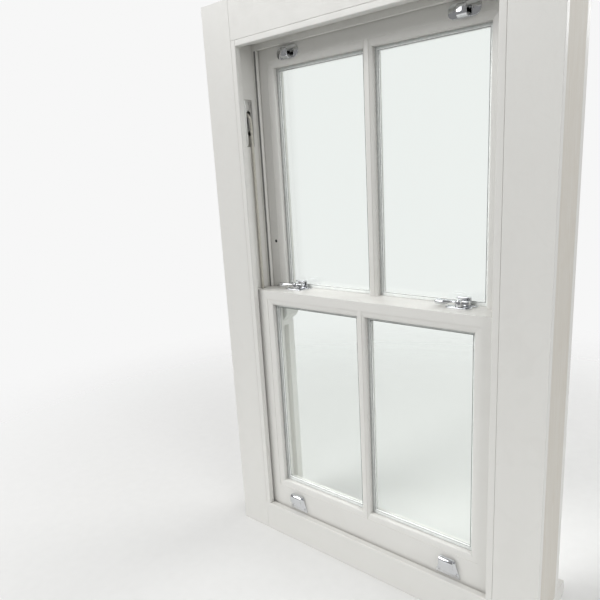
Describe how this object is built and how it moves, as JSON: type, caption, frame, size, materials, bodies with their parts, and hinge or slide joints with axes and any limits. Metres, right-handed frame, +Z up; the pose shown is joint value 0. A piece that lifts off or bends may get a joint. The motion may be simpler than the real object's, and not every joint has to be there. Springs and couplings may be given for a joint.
{
  "type": "sash window",
  "caption": "timber box sash window with two double-glazed hung sashes, boxed frame, cords, pulleys, weights, hook lifts and fasteners",
  "frame": {"origin": "centre of the sill's flat underside, where the frame stands in the wall; middle of the overall width and depth", "axes": "+X to the right seen from the room, +Y from the room to the outside, +Z up"},
  "size_m": [0.74, 0.19, 1.24],
  "materials": {
    "painted_timber": "off-white satin paint on timber",
    "bare_timber": "bare planed softwood inside the weight box",
    "glass": "clear float glass",
    "spacer": "satin silver spacer bar",
    "chrome": "polished chrome plate",
    "iron": "rough cast iron",
    "cord": "waxed braided cotton cord"
  },
  "bodies": {
    "frame": {"back_lining_left": "bare_timber", "back_lining_right": "bare_timber", "bottom_bead": "painted_timber", "cord_turns": "cord", "head": "painted_timber", "inner_lining_head": "painted_timber", "inner_lining_left": "painted_timber", "inner_lining_right": "painted_timber", "lower_sash_cords": "cord", "lower_weight_cords": "cord", "outer_lining_head": "painted_timber", "outer_lining_left": "painted_timber", "outer_lining_right": "painted_timber", "parting_bead_head": "painted_timber", "parting_bead_left": "painted_timber", "parting_bead_right": "painted_timber", "pocket_piece_left": "painted_timber", "pocket_piece_right": "painted_timber", "pulley_cases": "chrome", "pulley_stile_left": "painted_timber", "pulley_stile_right": "painted_timber", "sill": "painted_timber", "staff_bead_head": "painted_timber", "staff_bead_left": "painted_timber", "staff_bead_right": "painted_timber", "upper_sash_cords": "cord", "upper_weight_cords": "cord", "wagtail_left": "bare_timber", "wagtail_right": "bare_timber"},
    "lower_sash": {"lower_bottom_rail": "painted_timber", "lower_glass": "glass", "lower_glazing_bar": "painted_timber", "lower_glazing_beads": "painted_timber", "lower_lifts": "chrome", "lower_meeting_rail": "painted_timber", "lower_spacers": "spacer", "lower_stile_left": "painted_timber", "lower_stile_right": "painted_timber", "fastener_bases": "chrome"},
    "upper_sash": {"upper_glass": "glass", "upper_glazing_bar": "painted_timber", "upper_glazing_beads": "painted_timber", "upper_meeting_rail": "painted_timber", "upper_pulls": "chrome", "upper_spacers": "spacer", "upper_stile_left": "painted_timber", "upper_stile_right": "painted_timber", "upper_top_rail": "painted_timber", "fastener_keeps": "chrome"},
    "lever_left": {"fastener_lever_left": "chrome"},
    "lever_right": {"fastener_lever_right": "chrome"},
    "lower_weight_left": {"lower_weight_left": "iron"},
    "lower_wheel_left": {"lower_pulley_left": "chrome"},
    "lower_weight_right": {"lower_weight_right": "iron"},
    "lower_wheel_right": {"lower_pulley_right": "chrome"},
    "upper_weight_left": {"upper_weight_left": "iron"},
    "upper_wheel_left": {"upper_pulley_left": "chrome"},
    "upper_weight_right": {"upper_weight_right": "iron"},
    "upper_wheel_right": {"upper_pulley_right": "chrome"}
  },
  "joints": [
    {"name": "lower_sash_slide", "type": "slide", "parent": "frame", "child": "lower_sash", "axis": [0, 0, 1], "range_m": [0, 0.45], "deforming": ["lower_sash_cords"]},
    {"name": "upper_sash_slide", "type": "slide", "parent": "frame", "child": "upper_sash", "axis": [0, 0, -1], "range_m": [0, 0.45], "deforming": ["upper_sash_cords"]},
    {"name": "lower_weight_left_slide", "type": "slide", "parent": "frame", "child": "lower_weight_left", "axis": [0, 0, -1], "range_m": [0, 0.45], "deforming": ["lower_weight_cords"]},
    {"name": "lower_wheel_left_spin", "type": "hinge", "parent": "frame", "child": "lower_wheel_left", "pos_m": [-0.3065, -0.0555, 0.994], "axis": [0, -1, 0], "range_deg": [0, 1100]},
    {"name": "lower_weight_right_slide", "type": "slide", "parent": "frame", "child": "lower_weight_right", "axis": [0, 0, -1], "range_m": [0, 0.45]},
    {"name": "lower_wheel_right_spin", "type": "hinge", "parent": "frame", "child": "lower_wheel_right", "pos_m": [0.3065, -0.0555, 0.994], "axis": [0, 1, 0], "range_deg": [0, 1100]},
    {"name": "upper_weight_left_slide", "type": "slide", "parent": "frame", "child": "upper_weight_left", "axis": [0, 0, 1], "range_m": [0, 0.45], "deforming": ["upper_weight_cords"]},
    {"name": "upper_wheel_left_spin", "type": "hinge", "parent": "frame", "child": "upper_wheel_left", "pos_m": [-0.3065, -0.0015, 0.994], "axis": [0, 1, 0], "range_deg": [0, 1100]},
    {"name": "upper_weight_right_slide", "type": "slide", "parent": "frame", "child": "upper_weight_right", "axis": [0, 0, 1], "range_m": [0, 0.45]},
    {"name": "upper_wheel_right_spin", "type": "hinge", "parent": "frame", "child": "upper_wheel_right", "pos_m": [0.3065, -0.0015, 0.994], "axis": [0, -1, 0], "range_deg": [0, 1100]},
    {"name": "lever_left_turn", "type": "hinge", "parent": "lower_sash", "child": "lever_left", "pos_m": [-0.195, -0.0395, 0.63], "axis": [0, 0, 1], "range_deg": [0, 90]},
    {"name": "lever_right_turn", "type": "hinge", "parent": "lower_sash", "child": "lever_right", "pos_m": [0.195, -0.0395, 0.63], "axis": [0, 0, 1], "range_deg": [0, 90]}
  ],
  "couplings": [
    {"joint": "lower_weight_left_slide", "follows": "lower_sash_slide", "ratio": 1},
    {"joint": "lower_wheel_left_spin", "follows": "lower_sash_slide", "rad_per_m": 42.553},
    {"joint": "lower_weight_right_slide", "follows": "lower_sash_slide", "ratio": 1},
    {"joint": "lower_wheel_right_spin", "follows": "lower_sash_slide", "rad_per_m": 42.553},
    {"joint": "upper_weight_left_slide", "follows": "upper_sash_slide", "ratio": 1},
    {"joint": "upper_wheel_left_spin", "follows": "upper_sash_slide", "rad_per_m": 42.553},
    {"joint": "upper_weight_right_slide", "follows": "upper_sash_slide", "ratio": 1},
    {"joint": "upper_wheel_right_spin", "follows": "upper_sash_slide", "rad_per_m": 42.553}
  ]
}
